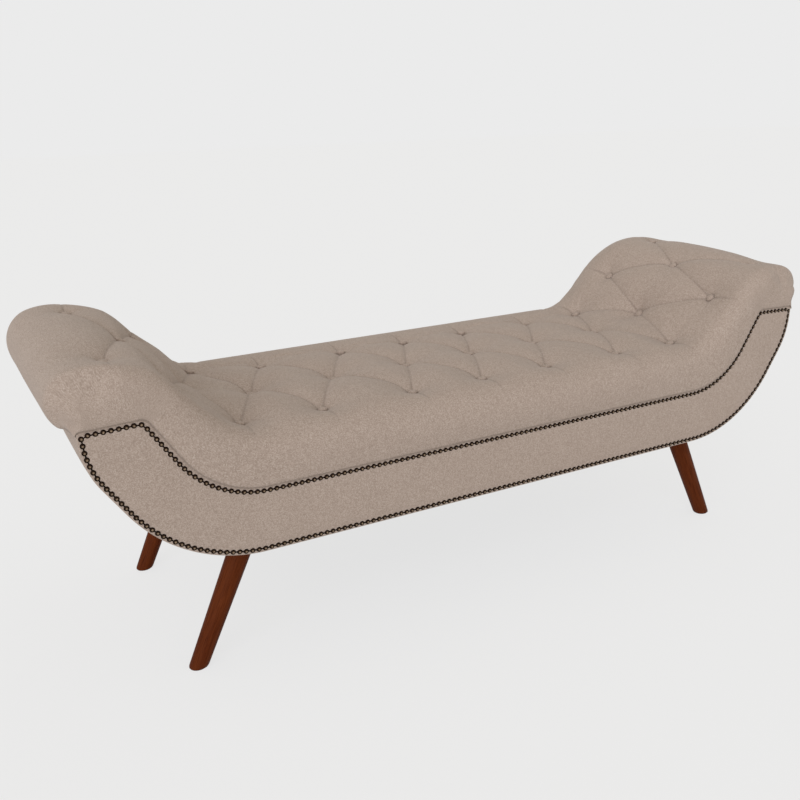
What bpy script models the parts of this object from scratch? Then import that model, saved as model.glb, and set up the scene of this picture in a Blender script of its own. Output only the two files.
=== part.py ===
# Upholstered bench: boat-shaped plywood sides, a deep-buttoned cushion over seat and arms, splayed legs.
# Metres, +Z up, X along the bench, front at -Y, origin on the floor under the middle of the body.

import math

import bmesh
import bpy
from mathutils import Matrix, Vector

# Body: the outline of the two long sides, from the underside up to the arm.
body_depth = 0.560
underside_height = 0.2208
seat_edge_height = 0.3373
seat_edge_half = 0.4647
underside_beyond_seat = 0.0108
arm_panel_height = 0.4826
end_slope_degrees = 57.0
shoulder_degrees = 86.0
arm_top_fall_degrees = 2.0
outer_corner_radius = 0.008
inner_corner_radius = 0.020
arm_slope_degrees = 57.5

# Cushion: the crest line that its padding reaches over the seat, up the arm and round the roll.
seat_height = 0.4425
seat_bend_setback = 0.0447
seat_bend_radius = 0.090
crest_slope_degrees = 45.0
arm_padding_rise = 0.1206
arm_crown_radius = 0.145
crown_end_degrees = 5.0
roll_shoulder_radius = 0.170
roll_nose_degrees = -20.0
roll_nose_radius = 0.0645
roll_end_degrees = -140.0
cushion_overhang = 0.004
cushion_bulge = 0.004
pad_side_thickness = 0.018
tuft_depth = 0.0318
front_row_inset = 0.0925
middle_row_inset = 0.2457
back_row_inset = 0.4000

# Buttons: a domed cap with the shank that ties it down.
button_radius = 0.0070
button_rim = 0.0015
button_dome = 0.0030
button_shank_radius = 0.0015
button_shank_length = 0.0095
button_tip_length = 0.0035

# Sheets and boards.
cover_thickness = 0.005
cover_edge_radius = 0.0015
side_panel_thickness = 0.018
end_cover_thickness = 0.003
end_cover_overlap = 0.045
bottom_cover_thickness = 0.0012
seat_board_thickness = 0.012
arm_board_thickness = 0.009
centre_rail_width = 0.040
leg_rail_width = 0.092
arm_rail_height = 0.060

# Nail trim: one strip of domed heads round each side.
nail_diameter = 0.0108
nail_strip_thickness = 0.0014
nail_edge_low = 0.0065
nail_edge_top = 0.0095
nail_corner_radius = 0.004

# Legs: turned, tapered, splayed along the bench and cut level at the floor.
leg_beyond_underside = 0.0185
leg_inset = 0.0715
leg_splay_degrees = 25.0
leg_seat_depth = 0.024
leg_top_radius = 0.021
foot_radius = 0.0172
leg_edge_radius = 0.003
leg_pocket_clearance = 0.0005
leg_pocket_cut = 0.060
floor_cut = 0.060
bolt_radius = 0.004
bolt_in_leg = 0.040
bolt_in_rail = 0.048

# Fits and fineness.
gap = 0.0003
merge_distance = 0.00003
overrun = 0.020
corner_ease = 0.0004
curve_flatness = 0.0002
leg_sides = 28
bolt_sides = 12
button_sides = 8
button_crown_share = 0.70

# The body's curves follow its rises: the end's from the underside to the arm, the arm's from the seat up.
arm_curve_share = 1.091
end_curve_share = 0.980
end_straight_share = 0.217
shoulder_curve_share = 0.573

# Places along the crest line: the whole part is the section's number, the rest is a share of it.
# Sections: 0 seat, 1 bend, 2 slope, 3 arm crown, 4 roll shoulder, 5 roll nose.
outer_column_shares = (0.0, 0.360, 0.786, 1.600, 2.760, 4.624)
inner_column_shares = (0.182, 0.567, 0.964, 2.160, 3.455)
# Each column's tufts are pulled down by this share of the tuft depth.
outer_depth_shares = (1.0, 1.0, 1.0, 1.07, 1.41, 0.97)
inner_depth_shares = (1.0, 1.0, 1.0, 1.30, 1.41)
roll_shares = (5.0, 5.25, 5.5, 5.75, 6.0)
# Places of the crest line whose feet on the base line are set; the feet of the others lie between them.
crest_knot_shares = (0.0, 1.0, 2.0, 2.760, 3.956, 4.624, 5.0, 5.25, 6.0)
foot_knot_shares = (0.0, 0.904, 1.700, 3.0, 3.98, 4.40, 4.80, 5.0, 6.0)
hollow_end_share = 5.0

# The cushion's section across the bench, front to middle: how far in, and how high of the padding.
edge_reach_shares = (0.0, -0.75, -0.50, 0.10, 0.45)
edge_height_shares = (0.0, 0.22, 0.46, 0.72, 0.90)
row_height_share = 0.975
back_edge_share = 0.55
back_middle_reach_share = 0.45
back_middle_height_share = 0.965
inner_top_share = 0.50
inner_knee_share = 0.36
inner_knee_reach = 0.030
crease_share = 0.45
flank_share = 0.22
pleat_share = 0.12


def clear_scene():
    """Empty the scene that the script starts in."""
    for old in list(bpy.data.objects):
        bpy.data.objects.remove(old, do_unlink=True)


def make_collections():
    """One collection for the parts and one for what cuts them."""
    folders = {}
    for name in ("upholstered_bench", "cutters"):
        folders[name] = bpy.data.collections.new(name)
        bpy.context.scene.collection.children.link(folders[name])
    return folders["upholstered_bench"], folders["cutters"]


def material(name, colour_hex, roughness, metallic=0.0):
    """Principled material from an sRGB colour."""
    found = bpy.data.materials.get(name)
    if found:
        return found
    linear = []
    for start in (0, 2, 4):
        value = int(colour_hex[start:start + 2], 16) / 255
        linear.append(value / 12.92 if value <= 0.04045 else ((value + 0.055) / 1.055) ** 2.4)
    made = bpy.data.materials.new(name)
    made.use_nodes = True
    shader = made.node_tree.nodes["Principled BSDF"]
    shader.inputs["Base Color"].default_value = (*linear, 1.0)
    shader.inputs["Roughness"].default_value = roughness
    shader.inputs["Metallic"].default_value = metallic
    return made


def linen():
    return material("linen_cloth", "A5978A", 0.9)


def plywood():
    return material("birch_plywood", "C9AC7C", 0.7)


def beech():
    return material("beech", "BF9668", 0.65)


def stained_wood():
    return material("stained_wood", "5E3420", 0.4)


def foam():
    return material("seat_foam", "E6D9A8", 0.95)


def bronze():
    return material("antique_bronze", "43352A", 0.35, 1.0)


def dust_cloth():
    return material("black_dust_cloth", "26262A", 0.95)


def zinc():
    return material("zinc_plated_steel", "A9ABAD", 0.35, 1.0)


def keep(obj, folder, surface=None):
    """Put an object in its collection and give it its material."""
    for other in list(obj.users_collection):
        other.objects.unlink(obj)
    folder.objects.link(obj)
    if surface:
        obj.data.materials.clear()
        obj.data.materials.append(surface)
    return obj


def as_cutter(obj, folder):
    """Keep a cutting shape out of the render and out of the build."""
    keep(obj, folder)
    obj.hide_render = True
    obj.display_type = "WIRE"
    return obj


def shade(obj, crease_degrees=35.0):
    obj.data.shade_smooth()
    obj.data.set_sharp_from_angle(angle=math.radians(crease_degrees))
    return obj


def boolean(obj, cutter, operation="DIFFERENCE"):
    step = obj.modifiers.new(operation.lower(), "BOOLEAN")
    step.operation = operation
    step.solver = "EXACT"
    step.object = cutter
    return step


def direction(degrees):
    """Unit step along a heading in the X-Z plane."""
    return Vector((math.cos(math.radians(degrees)), math.sin(math.radians(degrees))))


def meet(start_a, heading_a, start_b, heading_b):
    """Point where two lines of the X-Z plane cross."""
    step_a = direction(heading_a)
    step_b = direction(heading_b)
    between = start_b - start_a
    cross = step_a.x * step_b.y - step_a.y * step_b.x
    along = (between.x * step_b.y - between.y * step_b.x) / cross
    return start_a + step_a * along


def arc_steps(radius, degrees):
    """Straight pieces that hold an arc to the flatness."""
    per_step = 2 * math.acos(1 - min(curve_flatness / radius, 0.5))
    return max(2, math.ceil(math.radians(abs(degrees)) / per_step))


# Sizes that follow from those above.
underside_flat_half = seat_edge_half + underside_beyond_seat
arm_curve_radius = (arm_panel_height - seat_edge_height) * arm_curve_share
end_rise = arm_panel_height - underside_height
end_curve_radius = end_rise * end_curve_share
end_straight = end_rise * end_straight_share
shoulder_radius = end_rise * shoulder_curve_share


def half_lines():
    """The right half's edges, counterclockwise from the underside: a point and a heading each."""
    first_turn = end_curve_radius * math.tan(math.radians(end_slope_degrees / 2))
    second_turn = shoulder_radius * math.tan(math.radians((shoulder_degrees - end_slope_degrees) / 2))
    bottom = Vector((underside_flat_half + first_turn, underside_height))
    shoulder = bottom + direction(end_slope_degrees) * (first_turn + end_straight + second_turn)
    rise = arm_panel_height - shoulder.y
    top = shoulder + direction(shoulder_degrees) * (rise / math.sin(math.radians(shoulder_degrees)))
    arm_turn = arm_curve_radius * math.tan(math.radians(arm_slope_degrees / 2))
    seat = Vector((seat_edge_half + arm_turn, seat_edge_height))
    return (
        (bottom, 0.0),
        (bottom, end_slope_degrees),
        (shoulder, shoulder_degrees),
        (top, 180.0 - arm_top_fall_degrees),
        (seat, 180.0 + arm_slope_degrees),
        (seat, 180.0),
    )


def half_corners(low_inset, top_inset):
    """Corners between those edges after an inset, each with its rounding."""
    insets = (low_inset, low_inset, low_inset, top_inset, top_inset, top_inset)
    radii = (
        end_curve_radius - low_inset,
        shoulder_radius - low_inset,
        max(outer_corner_radius - top_inset, nail_corner_radius if top_inset else outer_corner_radius),
        inner_corner_radius - top_inset,
        arm_curve_radius + top_inset,
    )
    moved = []
    for (point, heading), inset in zip(half_lines(), insets):
        moved.append((point + direction(heading + 90.0) * inset, heading))
    corners = []
    for (point_a, heading_a), (point_b, heading_b), radius in zip(moved, moved[1:], radii):
        corners.append((meet(point_a, heading_a, point_b, heading_b), heading_a, heading_b, radius))
    return corners


def fillet(corner, heading_in, heading_out, radius):
    """Points round one corner, from tangent to tangent."""
    turn = (heading_out - heading_in + 180.0) % 360.0 - 180.0
    side = 1.0 if turn > 0 else -1.0
    start = corner - direction(heading_in) * (radius * math.tan(math.radians(abs(turn) / 2)))
    centre = start + direction(heading_in + 90.0 * side) * radius
    count = arc_steps(radius, turn)
    points = []
    for number in range(count + 1):
        heading = heading_in + turn * number / count
        points.append(centre - direction(heading + 90.0 * side) * radius)
    return points


def half_outline(low_inset=0.0, top_inset=0.0):
    """Right half of the side's outline, from the middle of the underside to the middle of the seat edge."""
    points = [Vector((0.0, underside_height + low_inset))]
    for corner in half_corners(low_inset, top_inset):
        points.extend(fillet(*corner))
    points.append(Vector((0.0, seat_edge_height - top_inset)))
    return points


def full_outline(low_inset=0.0, top_inset=0.0):
    """The whole boat-shaped outline, the left half mirrored from the right."""
    right = half_outline(low_inset, top_inset)
    left = [Vector((-point.x, point.y)) for point in reversed(right[1:-1])]
    return right + left


def mirrored(points, side):
    """An outline for the right side, or its mirror image for the left."""
    if side > 0:
        return points
    return [Vector((-point.x, point.y)) for point in reversed(points)]


def slab(name, loops, thickness, middle_y):
    """Flat plate in the X-Z plane, cut from one outline or from an outline with holes."""
    flat = bpy.data.curves.new(name + "_outline", "CURVE")
    flat.dimensions = "2D"
    flat.fill_mode = "BOTH"
    flat.extrude = thickness / 2
    for loop in loops:
        spline = flat.splines.new("POLY")
        spline.points.add(len(loop) - 1)
        spline.use_cyclic_u = True
        for spot, point in zip(spline.points, loop):
            spot.co = (point.x, point.y, 0.0, 1.0)
    guide = bpy.data.objects.new(name + "_curve", flat)
    bpy.context.scene.collection.objects.link(guide)
    guide.rotation_euler = (math.radians(90.0), 0.0, 0.0)
    guide.location = (0.0, middle_y, 0.0)
    bpy.context.view_layer.update()
    mesh = bpy.data.meshes.new_from_object(guide.evaluated_get(bpy.context.evaluated_depsgraph_get()))
    mesh.transform(guide.matrix_world)
    bpy.data.objects.remove(guide, do_unlink=True)
    work = bmesh.new()
    work.from_mesh(mesh)
    bmesh.ops.remove_doubles(work, verts=work.verts, dist=merge_distance)
    bmesh.ops.recalc_face_normals(work, faces=work.faces)
    work.to_mesh(mesh)
    work.free()
    mesh.name = name
    return bpy.data.objects.new(name, mesh)


def block(name, low, high):
    """Box between two corners."""
    size = Vector(high) - Vector(low)
    middle = (Vector(high) + Vector(low)) / 2
    work = bmesh.new()
    bmesh.ops.create_cube(work, size=1.0, matrix=Matrix.Translation(middle) @ Matrix.Diagonal((*size, 1.0)))
    mesh = bpy.data.meshes.new(name)
    work.to_mesh(mesh)
    work.free()
    return bpy.data.objects.new(name, mesh)


def turned(name, profile, sides):
    """Solid of revolution about its own Z, from a profile that runs down its outer side."""
    mesh = bpy.data.meshes.new(name + "_profile")
    edges = [(number, number + 1) for number in range(len(profile) - 1)]
    mesh.from_pydata([(radius, 0.0, height) for radius, height in profile], edges, [])
    guide = bpy.data.objects.new(name + "_guide", mesh)
    bpy.context.scene.collection.objects.link(guide)
    spin = guide.modifiers.new("turn", "SCREW")
    spin.steps = sides
    spin.render_steps = sides
    spin.use_merge_vertices = True
    spin.merge_threshold = merge_distance
    spin.use_smooth_shade = True
    bpy.context.view_layer.update()
    solid = bpy.data.meshes.new_from_object(guide.evaluated_get(bpy.context.evaluated_depsgraph_get()))
    bpy.data.objects.remove(guide, do_unlink=True)
    solid.name = name
    return bpy.data.objects.new(name, solid)


# Faces of the layers across the bench, counted from the middle out.
side_panel_outer = body_depth / 2 - cover_thickness - gap
side_panel_inner = side_panel_outer - side_panel_thickness
inside_half = side_panel_inner - gap
inside_floor = underside_height + end_cover_thickness + gap
rail_top = seat_edge_height - seat_board_thickness - gap
leg_offset = body_depth / 2 - leg_inset
leg_slant = math.radians(leg_splay_degrees)
foot_half_spread = underside_flat_half + leg_beyond_underside + underside_height * math.tan(leg_slant)
leg_top_height = underside_height + leg_seat_depth
leg_length = leg_top_height / math.cos(leg_slant)
leg_top_x = foot_half_spread - leg_top_height * math.tan(leg_slant)


def side_boards(parts):
    """Plywood side, padded cloth cover and nail strip, front and back."""
    for name, side in (("front", -1), ("back", 1)):
        board = slab(name + "_side_panel", [full_outline(end_cover_thickness + gap)],
                     side_panel_thickness, side * (side_panel_inner + side_panel_outer) / 2)
        keep(board, parts, plywood())
        cover = slab(name + "_panel_cover", [full_outline()],
                     cover_thickness, side * (body_depth - cover_thickness) / 2)
        soften = cover.modifiers.new("soft_edge", "BEVEL")
        soften.width = cover_edge_radius
        soften.segments = 1
        soften.limit_method = "ANGLE"
        soften.angle_limit = math.radians(60.0)
        keep(cover, parts, linen())
        half_nail = nail_diameter / 2
        outer = full_outline(nail_edge_low - half_nail, nail_edge_top - half_nail)
        inner = full_outline(nail_edge_low + half_nail, nail_edge_top + half_nail)
        strip = slab(name + "_nail_trim", [outer, inner], nail_strip_thickness,
                     side * (body_depth / 2 + gap + nail_strip_thickness / 2))
        keep(strip, parts, bronze())


def leg_frame(side, row):
    """Where a leg's axis stands: its foot on the floor, its length leaning in along the bench."""
    lean = Matrix.Rotation(-side * leg_slant, 4, "Y")
    return Matrix.Translation((side * foot_half_spread, row * leg_offset, 0.0)) @ lean


def upright_cylinder(name, radius, low, high, sides):
    return turned(name, ((0.0, high), (radius, high), (radius, low), (0.0, low)), sides)


def legs_and_bolts(parts, cutters):
    """Four turned legs and their hanger bolts; returns the cutters that the body needs."""
    reach = foot_half_spread + foot_radius + overrun
    floor = as_cutter(block("floor_cut", (-reach, -body_depth / 2, -floor_cut),
                            (reach, body_depth / 2, 0.0)), cutters)
    pockets = []
    bores = []
    for side_name, side in (("left", -1), ("right", 1)):
        for row_name, row in (("front", -1), ("back", 1)):
            place = leg_frame(side, row)
            tag = row_name + "_" + side_name
            taper = (leg_top_radius - foot_radius) / leg_length
            profile = (
                (0.0, leg_length),
                (leg_top_radius, leg_length),
                (foot_radius - taper * overrun, -overrun),
                (0.0, -overrun),
            )
            leg = turned(tag + "_leg", profile, leg_sides)
            leg.matrix_world = place
            keep(leg, parts, stained_wood())
            boolean(leg, floor)
            rounding = leg.modifiers.new("rounded_rims", "BEVEL")
            rounding.width = leg_edge_radius
            rounding.segments = 2
            rounding.limit_method = "ANGLE"
            rounding.angle_limit = math.radians(45.0)
            bore = upright_cylinder(tag + "_bore", bolt_radius + gap, leg_length - bolt_in_leg - gap,
                                    leg_length + bolt_in_rail + gap, bolt_sides)
            bore.matrix_world = place
            bores.append(as_cutter(bore, cutters))
            boolean(leg, bore)
            pocket = upright_cylinder(tag + "_pocket", leg_top_radius + leg_pocket_clearance,
                                      leg_length - leg_pocket_cut, leg_length + gap, leg_sides)
            pocket.matrix_world = place
            pockets.append(as_cutter(pocket, cutters))
            bolt = upright_cylinder(tag + "_hanger_bolt", bolt_radius, leg_length - bolt_in_leg,
                                    leg_length + bolt_in_rail, bolt_sides)
            bolt.matrix_world = place
            shade(keep(bolt, parts, zinc()))
    return pockets, bores


def rails(parts, cutters, pockets, bores):
    """Cross rails between the side panels: centre, two for the legs, two at the arms' tops."""
    inside = slab("inside_shape", [full_outline(end_cover_thickness + gap)], body_depth, 0.0)
    as_cutter(inside, cutters)
    centre = block("centre_rail", (-centre_rail_width / 2, -inside_half, inside_floor),
                   (centre_rail_width / 2, inside_half, rail_top))
    keep(centre, parts, beech())
    top_line = half_lines()[3]
    arm_rail_inner = meet(*top_line, *half_lines()[4]).x + arm_board_thickness
    for side_name, side in (("left", -1), ("right", 1)):
        near = side * (leg_top_x - leg_rail_width / 2)
        far = side * (leg_top_x + leg_rail_width / 2)
        leg_rail = block(side_name + "_leg_rail", (min(near, far), -inside_half, underside_height),
                         (max(near, far), inside_half, rail_top))
        keep(leg_rail, parts, beech())
        boolean(leg_rail, inside, "INTERSECT")
        for cutter in pockets + bores:
            if cutter.matrix_world.translation.x * side > 0:
                boolean(leg_rail, cutter)
        near = side * arm_rail_inner
        far = side * (top_line[0].x + overrun)
        low = arm_panel_height - arm_rail_height
        arm_rail = block(side_name + "_arm_rail", (min(near, far), -inside_half, low),
                         (max(near, far), inside_half, arm_panel_height + overrun))
        keep(arm_rail, parts, beech())
        boolean(arm_rail, inside, "INTERSECT")


def boards(parts):
    """Flat seat board, and a bent board that carries the cushion up each arm."""
    seat = block("seat_board", (gap - seat_edge_half, -inside_half, seat_edge_height - seat_board_thickness),
                 (seat_edge_half - gap, inside_half, seat_edge_height))
    keep(seat, parts, plywood())
    for side_name, side in (("left", -1), ("right", 1)):
        upper = arm_board_line(0.0)
        lower = arm_board_line(arm_board_thickness)
        board = slab(side_name + "_arm_board", [mirrored(upper + lower[::-1], side)], inside_half * 2, 0.0)
        shade(keep(board, parts, plywood()))


def arm_board_line(inset):
    """Line of the arm board's face, from the seat board to just before the arm's inner corner."""
    corners = half_corners(0.0, inset)
    bend = fillet(*corners[4])
    top = fillet(*half_corners(0.0, 0.0)[3])[-1] + direction(arm_slope_degrees - 90.0) * inset
    return list(reversed(bend)) + [top]


def end_covers(parts, pockets):
    """Cloth-covered skin round each end of the body, and the dust cover on the flat between them."""
    start = underside_flat_half - end_cover_overlap
    for side_name, side in (("left", -1), ("right", 1)):
        faces = []
        for inset in (0.0, end_cover_thickness):
            line = [Vector((start, underside_height + inset))]
            for corner in half_corners(inset, 0.0)[:2]:
                line.extend(fillet(*corner))
            corner = half_corners(inset, 0.0)[2]
            line.append(corner[0] - direction(shoulder_degrees) * outer_corner_radius)
            faces.append(line)
        outline = faces[0] + faces[1][::-1]
        skin = slab(side_name + "_end_cover", [mirrored(outline, side)], side_panel_outer * 2, 0.0)
        shade(keep(skin, parts, linen()))
        for cutter in pockets:
            if cutter.matrix_world.translation.x * side > 0:
                boolean(skin, cutter)
    top = inside_floor - gap
    dust = block("bottom_cover", (gap - start, -side_panel_outer, top - bottom_cover_thickness),
                 (start - gap, side_panel_outer, top))
    keep(dust, parts, dust_cloth())


def crest_sections():
    """Crest line of the cushion's right half, as sections of straight or round line."""
    slope = math.radians(crest_slope_degrees)
    crown_rise = arm_crown_radius * (1.0 - math.cos(slope))
    bend_rise = seat_bend_radius * (1.0 - math.cos(slope))
    slope_rise = arm_panel_height + arm_padding_rise - seat_height - bend_rise - crown_rise
    turns = (
        ("line", seat_edge_half - seat_bend_setback),
        ("arc", seat_bend_radius, crest_slope_degrees),
        ("line", slope_rise / math.sin(slope)),
        ("arc", arm_crown_radius, crown_end_degrees - crest_slope_degrees),
        ("arc", roll_shoulder_radius, roll_nose_degrees - crown_end_degrees),
        ("arc", roll_nose_radius, roll_end_degrees - roll_nose_degrees),
    )
    return walk(Vector((0.0, seat_height)), turns)


def base_sections():
    """Line that the cushion rests on, section by section beside the crest line."""
    inner_corner = meet(*half_lines()[3], *half_lines()[4])
    slope = (inner_corner - half_lines()[4][0]).length
    slope -= arm_curve_radius * math.tan(math.radians(arm_slope_degrees / 2))
    corner_turn = arm_slope_degrees + arm_top_fall_degrees
    slope -= inner_corner_radius * math.tan(math.radians(corner_turn / 2))
    top = (half_lines()[3][0] - inner_corner).length
    top -= inner_corner_radius * math.tan(math.radians(corner_turn / 2)) + outer_corner_radius
    turns = (
        ("line", seat_edge_half),
        ("arc", arm_curve_radius - gap, arm_slope_degrees),
        ("line", slope),
        ("arc", inner_corner_radius + gap + corner_ease, -corner_turn),
        ("line", top),
        ("arc", outer_corner_radius + gap + corner_ease, shoulder_degrees + arm_top_fall_degrees - 180.0),
    )
    return walk(Vector((0.0, seat_edge_height + gap)), turns)


def walk(start, turns):
    """Chain straight and round pieces; each one is kept with its start and heading."""
    sections = []
    point = start.copy()
    heading = 0.0
    for turn in turns:
        sections.append((point.copy(), heading, turn))
        point = along((point, heading, turn), 1.0)
        if turn[0] == "arc":
            heading += turn[2]
    return sections


def along(section, share):
    """Point at a share of one section."""
    point, heading, turn = section
    if turn[0] == "line":
        return point + direction(heading) * (turn[1] * share)
    side = 1.0 if turn[2] > 0 else -1.0
    centre = point + direction(heading + 90.0 * side) * turn[1]
    return centre - direction(heading + turn[2] * share + 90.0 * side) * turn[1]


def section_lengths(sections):
    """Length of each section of a chained line."""
    lengths = []
    for _, _, turn in sections:
        lengths.append(turn[1] if turn[0] == "line" else turn[1] * math.radians(abs(turn[2])))
    return lengths


def run_to(lengths, place):
    """Distance along a chained line to a place such as 2.35: section 2, 35 hundredths along it."""
    number = min(int(place), len(lengths) - 1)
    return sum(lengths[:number]) + lengths[number] * (place - number)


def place_at(lengths, run):
    """Place that lies a distance along a chained line."""
    for number, length in enumerate(lengths[:-1]):
        if run <= length:
            return number + run / length
        run -= length
    return len(lengths) - 1 + run / lengths[-1]


def point_at(sections, place):
    number = min(int(place), len(sections) - 1)
    return along(sections[number], place - number)


def normal_at(sections, place):
    """Unit step that stands square on a chained line, to its left."""
    number = min(int(place), len(sections) - 1)
    _, heading, turn = sections[number]
    turned_by = turn[2] * (place - number) if turn[0] == "arc" else 0.0
    return direction(heading + turned_by + 90.0)


def foot_of(place):
    """Point of the base line under a place of the crest line."""
    base = base_sections()
    base_lengths = section_lengths(base)
    crest_lengths = section_lengths(crest_sections())
    knots = [run_to(crest_lengths, knot) for knot in crest_knot_shares]
    feet = [run_to(base_lengths, knot) for knot in foot_knot_shares]
    run = run_to(crest_lengths, place)
    number = 0
    while number < len(knots) - 2 and run > knots[number + 1]:
        number += 1
    share = (run - knots[number]) / (knots[number + 1] - knots[number])
    return point_at(base, place_at(base_lengths, feet[number] + (feet[number + 1] - feet[number]) * share))


def cushion_stations():
    """Places along the cushion from left to right: the kind of tuft column at each, and its depth share."""
    columns = [(place, "outer", share) for place, share in zip(outer_column_shares, outer_depth_shares)]
    columns += [(place, "inner", share) for place, share in zip(inner_column_shares, inner_depth_shares)]
    columns.sort()
    half = []
    for column, following in zip(columns, columns[1:]):
        half.append(column)
        half.append((halfway(column[0], following[0]), "between", (column[2] + following[2]) / 2))
    half.append(columns[-1])
    half += [(place, "roll", 0.0) for place in roll_shares]
    left = [(-place, kind, share) for place, kind, share in reversed(half[1:])]
    return left + half


def halfway(place_a, place_b):
    """Place midway between two others, measured along the crest line."""
    lengths = section_lengths(crest_sections())
    return place_at(lengths, (run_to(lengths, place_a) + run_to(lengths, place_b)) / 2)


def section_across():
    """The cushion's section across the bench: distance from the front edge, height share and row mark."""
    front = []
    for reach, height in zip(edge_reach_shares, edge_height_shares):
        inward = reach * (front_row_inset if reach > 0 else cushion_bulge)
        front.append((inward - cushion_overhang, height, "edge"))
    first_gap = (front_row_inset + middle_row_inset) / 2
    second_gap = (middle_row_inset + back_row_inset) / 2
    rows = [
        (front_row_inset, row_height_share, "outer_row"),
        (first_gap, 1.0, "between"),
        (middle_row_inset, 1.0, "inner_row"),
        (second_gap, 1.0, "between"),
        (back_row_inset, row_height_share, "outer_row"),
    ]
    behind = body_depth - back_row_inset
    rows.append((back_row_inset + behind * back_middle_reach_share, back_middle_height_share, "edge"))
    back = []
    for reach, height in zip(edge_reach_shares, edge_height_shares):
        margin = behind * back_edge_share
        inward = reach * (margin if reach > 0 else cushion_bulge)
        back.append((body_depth - inward + cushion_overhang, height, "edge"))
    return front + rows + list(reversed(back))


def sunk_share(kind, row, neighbour_of_row):
    """How much of the tuft depth a point of the cushion's skin is pulled down."""
    if (kind, row) in (("outer", "outer_row"), ("inner", "inner_row")):
        return 1.0
    if (kind, row) == ("between", "between"):
        return crease_share
    if kind == "between" and row in ("outer_row", "inner_row"):
        return flank_share
    if kind in ("outer", "inner") and row == "between":
        return flank_share
    if kind == "outer" and neighbour_of_row:
        return pleat_share
    return 0.0


def skin_point(place, inward, height, sunk=0.0):
    """Point on the cushion's skin: along the bench, in from the front, up the padding, then pulled in."""
    side = -1.0 if place < 0 else 1.0
    foot = foot_of(abs(place))
    crest = point_at(crest_sections(), abs(place))
    point = foot + (crest - foot) * height - normal_at(crest_sections(), abs(place)) * sunk
    return Vector((side * point.x, inward - body_depth / 2, point.y))


def inner_section(clearance):
    """The hollow's section across the bench, as distance from the front edge and height share."""
    wall = pad_side_thickness + clearance
    half = (
        (wall, 0.0),
        (wall, inner_knee_share),
        (wall + inner_knee_reach, inner_top_share),
    )
    far = [(body_depth - inward, height) for inward, height in reversed(half)]
    return list(half) + far


def closed_skin(name, outer, inner, margin):
    """Closed shell: an outer skin over its whole length, and a hollow that stops short of both ends."""
    work = bmesh.new()
    skin = [[work.verts.new(point) for point in column] for column in outer]
    hollow = [[work.verts.new(point) for point in column] for column in inner]
    for first, second in zip(skin, skin[1:]):
        for number in range(len(first) - 1):
            fold_quad(work, (first[number], first[number + 1], second[number + 1], second[number]))
    for first, second in zip(hollow, hollow[1:]):
        for number in range(len(first) - 1):
            work.faces.new((first[number], second[number], second[number + 1], first[number + 1]))
    beside = skin[margin:margin + len(hollow)]
    for number in range(len(hollow) - 1):
        for end in (0, -1):
            work.faces.new((beside[number][end], beside[number + 1][end],
                            hollow[number + 1][end], hollow[number][end]))
    for rims, last in ((skin[:margin + 1], hollow[0]), (skin[::-1][:margin + 1], hollow[-1])):
        for first, second in zip(rims, rims[1:]):
            near = [second[0], second[-1]]
            if second in (beside[0], beside[-1]):
                near = [second[0], last[0], last[-1], second[-1]]
            work.faces.new([first[-1], first[0]] + near)
        work.faces.new(last)
        work.faces.new(rims[0])
    bmesh.ops.recalc_face_normals(work, faces=work.faces)
    bmesh.ops.triangulate(work, faces=[face for face in work.faces if len(face.verts) > 3])
    mesh = bpy.data.meshes.new(name)
    work.to_mesh(mesh)
    work.free()
    return bpy.data.objects.new(name, mesh)


def fold_quad(work, corners):
    """Two triangles, split along the diagonal whose ends lie deeper, so that creases stay sharp."""
    a, b, c, d = corners
    middle_ac = (a.co + c.co) / 2
    middle_bd = (b.co + d.co) / 2
    normal = (c.co - a.co).cross(d.co - b.co)
    if (middle_ac - middle_bd).dot(normal) < 0:
        work.faces.new((a, b, c))
        work.faces.new((a, c, d))
    else:
        work.faces.new((a, b, d))
        work.faces.new((b, c, d))


def cushion(parts):
    """The sewn, tufted cushion over seat and arms, and the foam core that fills it."""
    across = section_across()
    outer = []
    for place, kind, share in cushion_stations():
        column = []
        for number, (inward, height, row) in enumerate(across):
            beside = any(near[2] == "outer_row" for near in across[max(number - 1, 0):number + 2])
            depth = tuft_depth * share * sunk_share(kind, row, beside and row == "edge")
            column.append(skin_point(place, inward, height, depth))
        outer.append(column)
    places = [station[0] for station in cushion_stations()]
    held = [place for place in places if abs(place) <= hollow_end_share]
    inner = [[skin_point(place, *spot) for spot in inner_section(0.0)] for place in held]
    tufted = closed_skin("tufted_cushion", outer, inner, (len(places) - len(held)) // 2)
    shade(keep(tufted, parts, linen()), 60.0)
    shortened = hollow_end_share - 2 * gap / section_lengths(crest_sections())[int(hollow_end_share) - 1]
    held[0] = -shortened
    held[-1] = shortened
    filling = [[foam_point(place, *spot) for spot in inner_section(gap)] for place in held]
    keep(foam_solid("foam_core", filling), parts, foam())


def foam_point(place, inward, height):
    """Point of the foam core, a hair under the cushion's hollow."""
    if height == 0.0:
        return skin_point(place, inward, height)
    return skin_point(place, inward, height, gap)


def foam_solid(name, grid):
    """Closed solid from one grid, with its open underside and ends filled."""
    work = bmesh.new()
    columns = [[work.verts.new(point) for point in column] for column in grid]
    for first, second in zip(columns, columns[1:]):
        for number in range(len(first)):
            following = (number + 1) % len(first)
            work.faces.new((first[number], first[following], second[following], second[number]))
    work.faces.new(list(reversed(columns[0])))
    work.faces.new(columns[-1])
    bmesh.ops.recalc_face_normals(work, faces=work.faces)
    bmesh.ops.triangulate(work, faces=work.faces)
    mesh = bpy.data.meshes.new(name)
    work.to_mesh(mesh)
    work.free()
    return bpy.data.objects.new(name, mesh)


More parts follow.
